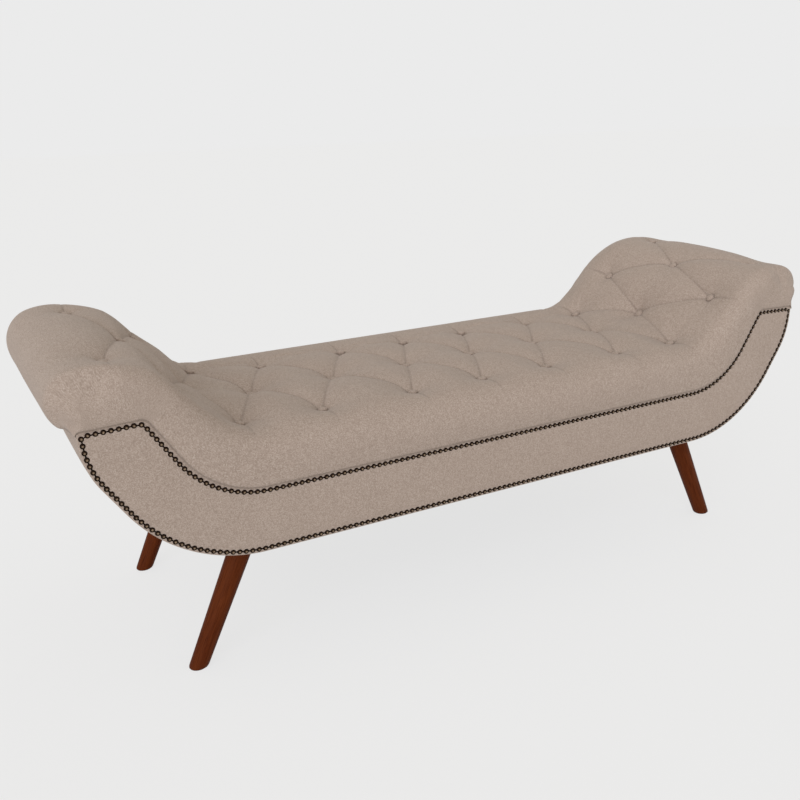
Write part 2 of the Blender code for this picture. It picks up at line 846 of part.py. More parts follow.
def buttons(parts):
    """A covered button in each tuft, tied down on its shank."""
    cap_top = button_shank_length + button_rim + button_dome
    profile = (
        (0.0, cap_top),
        (button_radius * button_crown_share, cap_top - button_dome * (1 - button_crown_share)),
        (button_radius, button_shank_length + button_rim),
        (button_shank_radius, button_shank_length),
        (button_shank_radius, button_tip_length),
        (0.0, 0.0),
    )
    shape = turned("covered_button", profile, button_sides).data
    outer = list(zip(outer_column_shares, outer_depth_shares))
    inner = list(zip(inner_column_shares, inner_depth_shares))
    rows = (
        ("front", front_row_inset, row_height_share, outer),
        ("middle", middle_row_inset, 1.0, inner),
        ("back", back_row_inset, row_height_share, outer),
    )
    for row_name, inward, height, columns in rows:
        right = [column for column in columns if column[0] > 0]
        left = [(-place, share) for place, share in reversed(right)]
        centre = [column for column in columns if column[0] == 0]
        for number, (place, share) in enumerate(left + centre + right, start=1):
            seat = skin_point(place, inward, height, tuft_depth * share)
            above = skin_point(place, inward, height)
            up = (above - seat).normalized()
            button = bpy.data.objects.new("%s_button_%02d" % (row_name, number), shape)
            keep(button, parts, linen())
            turn = Vector((0.0, 0.0, 1.0)).rotation_difference(up).to_matrix().to_4x4()
            button.matrix_world = Matrix.Translation(seat + up * gap) @ turn


def main():
    clear_scene()
    parts, cutters = make_collections()
    side_boards(parts)
    pockets, bores = legs_and_bolts(parts, cutters)
    bpy.context.view_layer.update()
    rails(parts, cutters, pockets, bores)
    boards(parts)
    end_covers(parts, pockets)
    cushion(parts)
    buttons(parts)


main()
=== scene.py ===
import math

import bmesh
import bpy
import numpy as np
from mathutils import Matrix, Vector, noise


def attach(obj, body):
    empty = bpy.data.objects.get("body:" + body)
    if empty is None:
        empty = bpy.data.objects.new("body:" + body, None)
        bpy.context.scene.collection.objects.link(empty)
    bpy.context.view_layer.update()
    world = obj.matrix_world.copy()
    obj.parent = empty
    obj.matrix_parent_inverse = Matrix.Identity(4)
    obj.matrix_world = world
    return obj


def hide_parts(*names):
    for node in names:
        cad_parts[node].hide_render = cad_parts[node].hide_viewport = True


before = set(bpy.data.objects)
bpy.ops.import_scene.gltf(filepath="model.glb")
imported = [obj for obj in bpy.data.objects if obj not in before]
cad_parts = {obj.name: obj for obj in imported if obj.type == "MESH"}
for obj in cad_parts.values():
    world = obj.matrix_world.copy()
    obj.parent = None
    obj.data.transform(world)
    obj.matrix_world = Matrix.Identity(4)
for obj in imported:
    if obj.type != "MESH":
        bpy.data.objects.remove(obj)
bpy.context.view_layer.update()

# Camera. It stands to the left of the bench and looks down on it, as the photograph was taken.
# A lens a little wider than a portrait lens, from 1.9 metres away.
def placed(name, data):
    """Put an object into the scene."""
    made = bpy.data.objects.new(name, data)
    bpy.context.scene.collection.objects.link(made)
    return made


camera = placed("camera", bpy.data.cameras.new("camera"))
camera.data.lens = 39.7
camera.data.sensor_width = 36.0
camera_place = Vector((-0.8855, -1.5547, 0.8887))
camera_yaw, camera_tilt, camera_roll = (math.radians(angle) for angle in (-27.53, 72.57, -2.02))
camera.matrix_world = (
    Matrix.Translation(camera_place)
    @ Matrix.Rotation(camera_yaw, 4, "Z")
    @ Matrix.Rotation(camera_tilt, 4, "X")
    @ Matrix.Rotation(camera_roll, 4, "Z")
)
bpy.context.scene.camera = camera
bpy.context.scene.view_settings.view_transform = "Standard"


# Studio. A pale grey room with one large soft lamp above the camera's left shoulder.
# The floor takes the object's shadow, and what the camera sees beyond it is the same pale grey.
def srgb(code):
    """Linear colour of an sRGB hex value."""
    channels = [int(code[start:start + 2], 16) / 255 for start in (1, 3, 5)]
    return tuple(c / 12.92 if c <= 0.04045 else ((c + 0.055) / 1.055) ** 2.4 for c in channels) + (1.0,)


def add(tree, kind, sockets=None, to=None, stops=(), **settings):
    """Add a shader node with its settings, its sockets' values or links, a ramp's stops and where it leads."""
    made = tree.nodes.new("ShaderNode" + kind)
    for name, value in settings.items():
        setattr(made, name, value)
    for socket, value in (sockets or {}).items():
        if isinstance(value, bpy.types.NodeSocket):
            tree.links.new(value, made.inputs[socket])
        else:
            made.inputs[socket].default_value = value
    while stops and len(made.color_ramp.elements) < len(stops):
        made.color_ramp.elements.new(0.5)
    for number, (position, code) in enumerate(stops):
        made.color_ramp.elements[number].position = position
        made.color_ramp.elements[number].color = srgb(code)
    if to is not None:
        tree.links.new(made.outputs[0], to)
    return made.outputs


def background_rays(tree):
    """1 where the pale background shows: to the camera, in metal and in glass."""
    rays = add(tree, "LightPath")
    most = add(tree, "Math", {0: rays["Is Camera Ray"], 1: rays["Is Glossy Ray"]}, operation="MAXIMUM")
    return add(tree, "Math", {0: most[0], 1: rays["Is Transmission Ray"]}, operation="MAXIMUM")[0]


pale_grey = srgb("#EBEBEB")
# The light from all round is a little warm and the lamp's a little cool, as in the photograph.
world_light = 0.62
world_tint = (1.0, 0.965, 0.890, 1.0)
lamp_strength = 1.5
lamp_tint = (0.97, 1.0, 1.08)
lamp_rise = math.radians(22.0)
lamp_swing = math.radians(-42.0)
lamp_spread = math.radians(50.0)
# The floor shows this much of the light on it, and an even glow makes up the rest, so its shadow stays faint.
floor_share = 0.14
floor_reach = 40.0

world = bpy.data.worlds.new("studio")
bpy.context.scene.world = world
world.use_nodes = True
tree = world.node_tree
tree.nodes.clear()
shown = background_rays(tree)
unseen = add(tree, "Background", {"Color": world_tint, "Strength": world_light})
seen = add(tree, "Background", {"Color": pale_grey, "Strength": 1.0})
both = add(tree, "MixShader", {0: shown, 1: unseen[0], 2: seen[0]})
add(tree, "OutputWorld", {"Surface": both[0]})

lamp = placed("soft_lamp", bpy.data.lights.new("soft_lamp", "SUN"))
lamp.data.energy = lamp_strength
lamp.data.angle = lamp_spread
lamp.data.color = lamp_tint
lamp.rotation_euler = (math.pi / 2 - lamp_rise, 0.0, lamp_swing)

floor_mesh = bpy.data.meshes.new("floor")
floor_mesh.from_pydata([(x * floor_reach, y * floor_reach, 0.0) for x, y in ((-1, -1), (1, -1), (1, 1), (-1, 1))],
                       [], [(0, 1, 2, 3)])
floor = placed("floor", floor_mesh)
paper = bpy.data.materials.new("matt_backdrop_paper")
paper.use_nodes = True
tree = paper.node_tree
tree.nodes.clear()
shown = background_rays(tree)
open_light = world_light + lamp_strength * math.sin(lamp_rise) / math.pi
bounce = add(tree, "BsdfDiffuse", {"Color": pale_grey})
shade = add(tree, "BsdfDiffuse", {"Color": (floor_share, floor_share, floor_share, 1.0)})
glow = add(tree, "Emission", {"Color": (1.0, 1.0, 1.0, 1.0), "Strength": pale_grey[0] - floor_share * open_light})
lit = add(tree, "AddShader", {0: shade[0], 1: glow[0]})
both = add(tree, "MixShader", {0: shown, 1: bounce[0], 2: lit[0]})
add(tree, "OutputMaterial", {"Surface": both[0]})
floor.data.materials.append(paper)


# Boards inside the body. Birch plywood, 18 mm sides and thinner boards under the cushion, sawn and sanded.
# The face veneer shows a fine straight grain, and a cut edge shows the plies as light and dark bands.
def principled(name, roughness, **constants):
    """Start a material with a Principled shader; returns the material, its tree and the shader."""
    made = bpy.data.materials.new(name)
    made.use_nodes = True
    shader = made.node_tree.nodes["Principled BSDF"]
    shader.inputs["Roughness"].default_value = roughness
    for socket, value in constants.items():
        shader.inputs[socket.replace("_", " ")].default_value = value
    return made, made.node_tree, shader


def dress(node_names, surface):
    """Give CAD nodes that stay in view their finished material."""
    for name in node_names:
        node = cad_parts[name]
        node.data.materials.clear()
        node.data.materials.append(surface)


# The bands are 3 mm wide, a light and a dark ply of 1.5 mm. The grain runs along the bench.
for board_name, stretch, plies in (("side", (1.0, 8.0, 30.0), "Y"), ("seat", (1.0, 30.0, 8.0), "Z")):
    birch, tree, shader = principled("birch_plywood_" + board_name, 0.6)
    place = add(tree, "TexCoord")["Object"]
    stretched = add(tree, "Mapping", {"Vector": place, "Scale": stretch})
    grain = add(tree, "TexNoise", {"Vector": stretched[0], "Scale": 6.0, "Detail": 8.0})
    tint = add(tree, "ValToRGB", {0: grain["Fac"]}, stops=((0.3, "#B99A6B"), (0.5, "#CDB184"), (0.75, "#D9C297")))[0]
    bands = add(tree, "TexWave", {"Vector": place, "Scale": 105.0}, bands_direction=plies)
    facing = add(tree, "NewGeometry")["Normal"]
    part = add(tree, "SeparateXYZ", {0: facing})[plies]
    on_face = add(tree, "Math", {0: part}, operation="ABSOLUTE")[0]
    edge_tint = add(tree, "ValToRGB", {0: bands["Fac"]}, stops=((0.35, "#8E6B41"), (0.6, "#D4BA8D")))[0]
    mixed = add(tree, "Mix", {0: on_face, 6: edge_tint, 7: tint}, data_type="RGBA")
    tree.links.new(mixed[2], shader.inputs["Base Color"])
    add(tree, "Bump", {"Height": grain["Fac"], "Distance": 0.0003, "Strength": 0.4}, shader.inputs["Normal"])
    dress(("front_side_panel", "back_side_panel") if plies == "Y" else
          ("seat_board", "left_arm_board", "right_arm_board"), birch)


# Rails inside the body. Sawn and planed beech, screwed across between the side panels.
# Beech is even and pinkish, with dark flecks along the grain, about 1 mm wide and 8 mm long.
beech, tree, shader = principled("planed_beech", 0.55)
place = add(tree, "TexCoord")["Object"]
along_rail = add(tree, "Mapping", {"Vector": place, "Scale": (60.0, 4.0, 60.0)})
figure = add(tree, "TexNoise", {"Vector": along_rail[0], "Scale": 2.0, "Detail": 6.0})
flecks = add(tree, "Mapping", {"Vector": place, "Scale": (900.0, 120.0, 900.0)})
fleck = add(tree, "TexNoise", {"Vector": flecks[0], "Scale": 1.0, "Detail": 1.0})
tint = add(tree, "ValToRGB", {0: figure["Fac"]}, stops=((0.3, "#B98B5E"), (0.7, "#CFA878")))[0]
dark = add(tree, "ValToRGB", {0: fleck["Fac"]}, stops=((0.62, "#FFFFFF"), (0.72, "#B9926B")))[0]
mixed = add(tree, "Mix", {0: 1.0, 6: tint, 7: dark}, data_type="RGBA", blend_type="MULTIPLY")
tree.links.new(mixed[2], shader.inputs["Base Color"])
add(tree, "Bump", {"Height": fleck["Fac"], "Distance": 0.0002, "Strength": 0.3}, shader.inputs["Normal"])
dress(("centre_rail", "left_leg_rail", "right_leg_rail", "left_arm_rail", "right_arm_rail"), beech)


# Hanger bolts. Zinc-plated steel, screwed into the leg rails, and the legs turn onto them.
# Bright plating over a rolled thread: bluish, with the rings of a thread of 1.25 mm.
zinc, tree, shader = principled("zinc_plated_steel", 0.32, Metallic=1.0)
place = add(tree, "TexCoord")["Object"]
patches = add(tree, "TexNoise", {"Vector": place, "Scale": 350.0, "Detail": 3.0})
add(tree, "ValToRGB", {0: patches["Fac"]}, shader.inputs["Base Color"], stops=((0.35, "#9FA4A8"), (0.65, "#C2C5C4")))
thread = add(tree, "TexWave", {"Vector": place, "Scale": 250.0}, bands_direction="Z")
add(tree, "Bump", {"Height": thread["Fac"], "Distance": 0.0005}, shader.inputs["Normal"])
dress(("front_left_hanger_bolt", "front_right_hanger_bolt",
       "back_left_hanger_bolt", "back_right_hanger_bolt"), zinc)


# Panel covers. Linen over thin wadding, stretched on the front and back panels and folded round their rims.
# A plain weave of uneven beige and brown yarns: matt, flecked, with thick places along the upright threads.
def spot_on(line, run):
    """Point and heading at a distance along a line of pieces, each a length and the degrees that it turns."""
    x, z, heading = line[0]
    for length, turn in line[1:]:
        part = min(run, length)
        bend = math.radians(turn) * part / length
        chord = part * math.sin(bend / 2) / (bend / 2) if bend else part
        x += chord * math.cos(heading + bend / 2)
        z += chord * math.sin(heading + bend / 2)
        heading += bend
        run -= part
    return x, z, heading


def length_of(line):
    """Length of such a line."""
    return sum(length for length, turn in line[1:])


def loft_faces(loops, points):
    """Faces of a closed skin over loops of points: each loop joined to the next, the two end ones filled."""
    faces = [tuple(range(points)), tuple(range((loops - 1) * points, loops * points))]
    for loop in range(loops - 1):
        for point in range(points):
            here = loop * points + point
            beside = loop * points + (point + 1) % points
            faces.append((here, beside, beside + points, here + points))
    return faces


def solid(name, points, faces, surface, sharp_degrees=40.0, **marks):
    """A closed piece from points and faces, with its material and the values marked on its points."""
    mesh = bpy.data.meshes.new(name)
    mesh.from_pydata(np.reshape(points, (-1, 3)).tolist(), [], faces)
    for mark, values in marks.items():
        vector = np.ndim(values) > 1
        layer = mesh.attributes.new(mark, "FLOAT_VECTOR" if vector else "FLOAT", "POINT")
        layer.data.foreach_set("vector" if vector else "value", np.ravel(values).astype(np.float32))
    work = bmesh.new()
    work.from_mesh(mesh)
    bmesh.ops.recalc_face_normals(work, faces=work.faces)
    work.to_mesh(mesh)
    work.free()
    mesh.shade_smooth()
    mesh.set_sharp_from_angle(angle=math.radians(sharp_degrees))
    mesh.materials.append(surface)
    return placed(name, mesh)


# Real threads lie 0.7 mm apart. They are drawn 1.4 mm apart, so that the weave shows at this distance.
thread_pitch = 0.0014
# Warp and weft: the axis across and along the thread, how far apart threads lie in the noise, how fast each
# changes from one crossing to the next, and the noise's layer. Thick places are longest in the warp.
yarn_systems = (("X", "Y", 7.31, 0.11, 0.0), ("Y", "X", 5.17, 0.32, 3.0))
thread_wander = 1.2
fleck_share = 0.38
cloud_share = 0.08


def linen(name):
    """Linen cloth, woven by the weave marks on its piece and darkened by painted shade along its fold marks."""
    made, tree, shader = principled(name, 0.92)
    shader.inputs["Sheen Weight"].default_value = 0.12
    shader.inputs["Sheen Roughness"].default_value = 0.5
    shader.inputs["IOR"].default_value = 1.5
    shader.inputs["Specular IOR Level"].default_value = 0.25
    place = add(tree, "Attribute", attribute_name="weave")["Vector"]
    drift = add(tree, "TexNoise", {"Vector": place, "Scale": 60.0, "Detail": 2.0})["Color"]
    drift = add(tree, "VectorMath", {0: drift, 1: (-0.5, -0.5, -0.5)}, operation="ADD")[0]
    drift = add(tree, "VectorMath", {0: drift, "Scale": thread_wander}, operation="SCALE")[0]
    threads = add(tree, "VectorMath", {0: place, "Scale": 1.0 / thread_pitch}, operation="SCALE")
    threads = add(tree, "VectorMath", {0: threads[0], 1: drift}, operation="ADD")[0]
    number = add(tree, "VectorMath", {0: threads}, operation="FLOOR")[0]
    within = add(tree, "VectorMath", {0: threads}, operation="FRACTION")[0]
    counts = add(tree, "SeparateXYZ", {0: number})
    parts = add(tree, "SeparateXYZ", {0: threads})
    yarns = []
    for across, along, spread, change, layer in yarn_systems:
        lane = add(tree, "Math", {0: counts[across], 1: spread}, operation="MULTIPLY")[0]
        drawn = add(tree, "Math", {0: parts[along], 1: change}, operation="MULTIPLY")[0]
        spot = add(tree, "CombineXYZ", {across: lane, along: drawn, "Z": layer})[0]
        slubs = add(tree, "TexNoise", {"Vector": spot, "Scale": 1.0, "Detail": 2.0})
        yarns.append(slubs["Fac"])
    fleck = add(tree, "TexWhiteNoise", {"Vector": number}, noise_dimensions="3D")["Value"]
    over = add(tree, "Math", {0: counts["X"], 1: counts["Y"]}, operation="ADD")[0]
    over = add(tree, "Math", {0: over, 1: 2.0}, operation="FLOORED_MODULO")[0]
    yarn = add(tree, "Mix", {0: over, 2: yarns[0], 3: yarns[1]})[0]
    tone = add(tree, "Mix", {0: fleck_share, 2: yarn, 3: fleck})[0]
    clouds = add(tree, "TexNoise", {"Vector": place, "Scale": 14.0, "Detail": 3.0})["Fac"]
    tone = add(tree, "Mix", {0: cloud_share, 2: tone, 3: clouds})[0]
    tint = add(tree, "ValToRGB", {0: tone},
               stops=((0.10, "#8B7B6E"), (0.40, "#A29185"), (0.58, "#AF9E92"), (0.90, "#C5B7AC")))[0]
    # Painted shade: the cloth turns dark brown where its piece is marked, in the creases, round the buttons and
    # along the seam.
    fold = add(tree, "Attribute", attribute_name="fold")["Fac"]
    tint = add(tree, "Mix", {0: fold, 6: tint, 7: srgb("#3E342C")}, data_type="RGBA")[2]
    tree.links.new(tint, shader.inputs["Base Color"])
    bed = add(tree, "VectorMath", {0: within, "Scale": math.pi}, operation="SCALE")[0]
    bed = add(tree, "VectorMath", {0: bed}, operation="SINE")[0]
    bed = add(tree, "SeparateXYZ", {0: bed})
    knuckle = add(tree, "Math", {0: bed["X"], 1: bed["Y"]}, operation="MULTIPLY")[0]
    knuckle = add(tree, "Math", {0: knuckle, 1: yarn}, operation="ADD")[0]
    add(tree, "Bump", {"Height": knuckle, "Distance": 0.0004, "Strength": 0.35}, shader.inputs["Normal"])
    return made


# Edges of a side from its middle to one end: a start with its heading, then pieces as length and turn.
underside_edge = ((0.0, 0.2208, 0.0), (0.4755, 0.0), (0.25524, 57.0), (0.056811, 0.0), (0.075928, 29.0),
                  (0.017867, 0.0), (0.006423, 46.0))
seat_edge = ((0.0, 0.3373, 0.0), (0.4647, 0.0), (0.159087, 57.5), (0.078055, 0.0), (0.020769, -59.5),
             (0.081143, 0.0), (0.006423, -46.0))
panel_face = 0.2800
cover_back = 0.2750
rim_rounding = 0.0026
wadding_rise = 0.0016
wadding_reach = 0.030
nail_inset = 0.0080
nail_dent = 0.0009
nail_dent_reach = 0.0050
# Rows of points by their distance from the rim, closest where the cloth turns over it and under the nails.
near_rim = np.array((0.0, 0.0004, 0.0012, 0.0026, 0.0052, 0.0080, 0.0110, 0.0160, 0.0240))
near_rim_share = 0.4
middle_rows = 9
cover_step = 0.006
# The last column stops just short of the arm's top corner, where both edges meet.
last_column = 0.9995
cover_linen = linen("slub_linen_cover")
half_columns = int(length_of(underside_edge) / cover_step)
for side_name, side in (("front", -1.0), ("back", 1.0)):
    loops = []
    for column in range(-half_columns, half_columns + 1):
        share = abs(column) / half_columns * last_column
        across = 1.0 if column >= 0 else -1.0
        low = np.array(spot_on(underside_edge, share * length_of(underside_edge))[:2])
        high = np.array(spot_on(seat_edge, share * length_of(seat_edge))[:2])
        height = np.linalg.norm(high - low)
        steps = near_rim * min(1.0, near_rim_share * height / near_rim[-1])
        middle = np.linspace(steps[-1], height - steps[-1], middle_rows + 2)[1:-1]
        rows = np.concatenate((steps, middle, height - steps[::-1]))
        inward = np.minimum(rows, height - rows)
        spots = low + (high - low) * (rows / height)[:, None]
        drop = rim_rounding - np.sqrt(rim_rounding ** 2 - np.clip(rim_rounding - inward, 0.0, None) ** 2)
        rise = wadding_rise * (1.0 - np.exp(-(inward / wadding_reach) ** 2))
        dent = nail_dent * np.exp(-((inward - nail_inset) / nail_dent_reach) ** 2)
        face = panel_face - drop + rise - dent
        loop = [(across * x, side * y, z) for (x, z), y in zip(spots, face)]
        loop += [(across * high[0], side * cover_back, high[1]), (across * low[0], side * cover_back, low[1])]
        loops.append(loop)
    points = np.array(loops)
    cover = solid(side_name + "_padded_cover", points, loft_faces(*points.shape[:2]), cover_linen, 60.0,
                  weave=points.reshape(-1, 3)[:, (0, 2, 1)])
    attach(cover, "root")
    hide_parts(side_name + "_panel_cover")


# End covers. Linen over thin wadding, drawn round each end of the body from the underside up to the arm.
# It is tacked under the body and cut out where the legs stand.
end_half = 0.2747
end_start = 0.4305
end_run = length_of(underside_edge) - underside_edge[-1][0]
end_thickness = 0.0030
end_columns = 84
# Wadding lifts the cloth between its edges, full within these distances of its two ends, with small ripples.
end_rise = 0.0016
low_fade, high_fade = 0.05, 0.03
edge_drop = 0.0006
ripple = 0.0004
ripples = 9.0
leg_lean = math.radians(25.0)
leg_foot_x = 0.59696
leg_y = 0.2085
leg_length = 0.27011
leg_top_radius = 0.0210
leg_hole_radius = leg_top_radius + 0.0006
leg_hole_depth = 0.12
end_linen = linen("slub_linen_ends")
end_rows = 2 * end_half * np.concatenate((np.linspace(0.0, 0.02, 4)[:-1], np.linspace(0.02, 0.98, 60),
                                          np.linspace(0.98, 1.0, 4)[1:])) - end_half
for side_name, side in (("left", -1.0), ("right", 1.0)):
    loops, weave = [], []
    for run in np.linspace(end_start, end_run, end_columns):
        x, z, heading = spot_on(underside_edge, run)
        normal = np.array((math.sin(heading), -math.cos(heading)))
        end_fade = min(1.0, (run - end_start) / low_fade, (end_run - run) / high_fade)
        loop = []
        for y in end_rows:
            rise = end_rise * end_fade * (1.0 - abs(y / end_half) ** 8) - edge_drop * abs(y / end_half) ** 40
            rise += ripple * end_fade * noise.noise((x * ripples, y * ripples, z * ripples + side))
            spot = np.array((x, z)) + normal * rise
            loop.append((side * spot[0], y, spot[1]))
            weave.append((y, run, 0.0))
        for y in (end_half, -end_half):
            spot = np.array((x, z)) - normal * end_thickness
            loop.append((side * spot[0], y, spot[1]))
            weave.append((y, run, 0.0))
        loops.append(loop)
    points = np.array(loops)
    cover = solid(side_name + "_end_cloth", points, loft_faces(*points.shape[:2]), end_linen, 60.0,
                  weave=np.array(weave))
    for y in (-leg_y, leg_y):
        hole = bpy.data.meshes.new("leg_hole")
        work = bmesh.new()
        lean = Matrix.Translation((side * leg_foot_x, y, 0.0)) @ Matrix.Rotation(-side * leg_lean, 4, "Y")
        bmesh.ops.create_cone(work, cap_ends=True, segments=48, radius1=leg_hole_radius, radius2=leg_hole_radius,
                              depth=leg_hole_depth, matrix=lean @ Matrix.Translation((0.0, 0.0, leg_length)))
        work.to_mesh(hole)
        work.free()
        cutter = placed("leg_hole", hole)
        cut = cover.modifiers.new("leg_hole", "BOOLEAN")
        cut.object = cutter
        cut.solver = "EXACT"
        bpy.context.view_layer.update()
        seen = cover.evaluated_get(bpy.context.evaluated_depsgraph_get())
        cover.data = bpy.data.meshes.new_from_object(seen)
        cover.modifiers.clear()
        bpy.data.objects.remove(cutter)
    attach(cover, "root")
    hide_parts(side_name + "_end_cover")


# Dust cover. Thin black felted cloth, stapled tight under the body between the end covers.
# Felted fibres lie every way, so it shows a mottle of 2 mm tufts and broader clouds, and no weave.
dust_half = (0.4302, 0.2747)
dust_top, dust_face = 0.2237, 0.2225
dust_sag = 0.0008
dust_columns, dust_rows = 61, 41
felt, tree, shader = principled("black_felted_cloth", 0.95)
place = add(tree, "TexCoord")["Object"]
fibres = add(tree, "TexNoise", {"Vector": place, "Scale": 500.0, "Detail": 4.0})["Fac"]
clouds = add(tree, "TexNoise", {"Vector": place, "Scale": 30.0, "Detail": 2.0})["Fac"]
tone = add(tree, "Mix", {0: 0.5, 2: fibres, 3: clouds})[0]
add(tree, "ValToRGB", {0: tone}, shader.inputs["Base Color"], stops=((0.35, "#1D1D20"), (0.65, "#35353A")))
add(tree, "Bump", {"Height": fibres, "Distance": 0.0003, "Strength": 0.5}, shader.inputs["Normal"])
loops = []
for x in np.linspace(-dust_half[0], dust_half[0], dust_columns):
    loop = []
    for y in np.linspace(-dust_half[1], dust_half[1], dust_rows):
        sag = dust_sag * (1.0 - (x / dust_half[0]) ** 4) * (1.0 - (y / dust_half[1]) ** 4)
        loop.append((x, y, dust_face - sag))
    loop += [(x, y, dust_top) for y in (dust_half[1], -dust_half[1])]
    loops.append(loop)
points = np.array(loops)
dust = solid("dust_cloth", points, loft_faces(*points.shape[:2]), felt, 60.0)
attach(dust, "root")
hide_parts("bottom_cover")


# Nails. A trim of domed nail heads of antiqued bronze, joined by short bars, round the rim of each side.
# Each is driven through the cloth into the side board. The patina, in spots of about 2 mm, is nearly black in the
# rims and on the bars, which is also painted shade, and the crowns are lightened to a beige bronze, a painted
# highlight as well as rubbed wear.
nail_line = ((0.0, 0.2273, 0.0), (0.4755, 0.0), (0.248773, 57.0), (0.056811, 0.0), (0.072638, 29.0),
             (0.012276, 0.0), (0.006423, 92.0), (0.07845, 0.0), (0.010904, 59.5), (0.078055, 0.0),
             (0.168621, -57.5), (0.4647, 0.0))
nail_pitch = 0.01103
nail_radius = 0.0045
nail_height = 0.0026
nail_sink = -0.0008
nail_tilt = 0.07
bar_half_width = 0.0013
bar_top_share = 0.7
bar_height = 0.0012
nail_sides = 16
bronze, tree, shader = principled("antiqued_bronze", 0.45, Metallic=1.0)
crown = add(tree, "Attribute", attribute_name="crown")["Fac"]
place = add(tree, "TexCoord")["Object"]
patina = add(tree, "TexNoise", {"Vector": place, "Scale": 420.0, "Detail": 3.0})["Fac"]
rubbed_and_highlit = add(tree, "Mix", {0: 0.25, 2: crown, 3: patina})[0]
# Painted highlight and shade: each crown is lightened towards beige like a reflection of the bright room, and the
# rims and bars are darkened.
add(tree, "ValToRGB", {0: rubbed_and_highlit}, shader.inputs["Base Color"],
    stops=((0.30, "#1A120D"), (0.72, "#2E2118"), (0.88, "#A58F77")))
add(tree, "MapRange", {"Value": rubbed_and_highlit, "To Min": 0.6, "To Max": 0.4}, shader.inputs["Roughness"])
add(tree, "Bump", {"Height": patina, "Distance": 0.0001, "Strength": 0.4}, shader.inputs["Normal"])
nail_rings = np.array([(math.cos(angle), math.sin(angle)) for angle in np.linspace(0.0, 0.46 * math.pi, 6)])
nail_angles = np.arange(nail_sides) * 2.0 * math.pi / nail_sides
nail_rounds = [(nail_radius, nail_sink)] + [(nail_radius * r, nail_height * h) for r, h in nail_rings]
bar_profile = ((-1.0, nail_sink), (-bar_top_share, bar_height), (bar_top_share, bar_height), (1.0, nail_sink))
for side_name, side in (("front", -1.0), ("back", 1.0)):
    half_run = length_of(nail_line)
    count = round(2.0 * half_run / nail_pitch)
    spots = []
    for number in range(count):
        run = (number + 0.5) * 2.0 * half_run / count
        x, z, heading = spot_on(nail_line, min(run, 2.0 * half_run - run))
        spots.append((x if run < half_run else -x, z))
    points, faces, crowns = [], [], []
    for number, (x, z) in enumerate(spots):
        tilt_x, tilt_z = (nail_tilt * noise.noise((number * 3.7, side, turn)) for turn in (0.3, 7.9))
        for radius, height in nail_rounds:
            for angle in nail_angles:
                across, up = radius * math.cos(angle), radius * math.sin(angle)
                out = panel_face - nail_dent + height + across * tilt_x + up * tilt_z
                points.append((x + across, side * out, z + up))
                crowns.append(max(0.0, 1.0 - (radius / nail_radius) ** 2))
        first = number * len(nail_rounds) * nail_sides
        faces += [tuple(first + corner for corner in face) for face in loft_faces(len(nail_rounds), nail_sides)]
    for number, (x, z) in enumerate(spots):
        start, end = Vector((x, z)), Vector(spots[(number + 1) % count])
        beside = (end - start).orthogonal().normalized() * bar_half_width
        first = len(points)
        for middle in (start + (end - start) * 0.25, start + (end - start) * 0.75):
            for step, height in bar_profile:
                spot = middle + beside * step
                points.append((spot.x, side * (panel_face - nail_dent + height), spot.y))
                crowns.append(0.0)
        faces += [tuple(first + corner for corner in face) for face in loft_faces(2, 4)]
    nails = solid(side_name + "_bronze_nails", points, faces, bronze, 50.0, crown=np.array(crowns))
    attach(nails, "root")
    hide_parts(side_name + "_nail_trim")


# Legs. Turned from solid hardwood, tapered, splayed along the bench and sawn level at the floor.
# Walnut-brown stain under satin lacquer: straight grain down the leg, darker in the pores. Pores are drawn about
# 1 mm apart and 40 mm long, some three times coarser than real ones, so that they show.
leg_foot_radius = 0.0158
leg_sides = 64
leg_rounding = 0.0050
foot_rings = 4
shaft_rings = 14
shaft_start = 0.02
top_gap = 0.0015
wood, tree, shader = principled("stained_hardwood", 0.5, Specular_IOR_Level=0.04)
place = add(tree, "Attribute", attribute_name="grain")["Vector"]
lengthwise = add(tree, "Mapping", {"Vector": place, "Scale": (1.0, 1.0, 0.06)})[0]
figure = add(tree, "TexNoise", {"Vector": lengthwise, "Scale": 130.0, "Detail": 5.0, "Distortion": 0.6})
pore_place = add(tree, "Mapping", {"Vector": place, "Scale": (1.0, 1.0, 0.03)})[0]
pores = add(tree, "TexNoise", {"Vector": pore_place, "Scale": 900.0, "Detail": 2.0})["Fac"]
tint = add(tree, "ValToRGB", {0: figure["Fac"]}, stops=((0.30, "#53240E"), (0.50, "#592911"), (0.72, "#612E14")))[0]
dark = add(tree, "ValToRGB", {0: pores}, stops=((0.34, "#D2C3B8"), (0.48, "#FFFFFF")))[0]
mixed = add(tree, "Mix", {0: 1.0, 6: tint, 7: dark}, data_type="RGBA", blend_type="MULTIPLY")
tree.links.new(mixed[2], shader.inputs["Base Color"])
add(tree, "Bump", {"Height": pores, "Distance": 0.0002, "Strength": 0.25}, shader.inputs["Normal"])
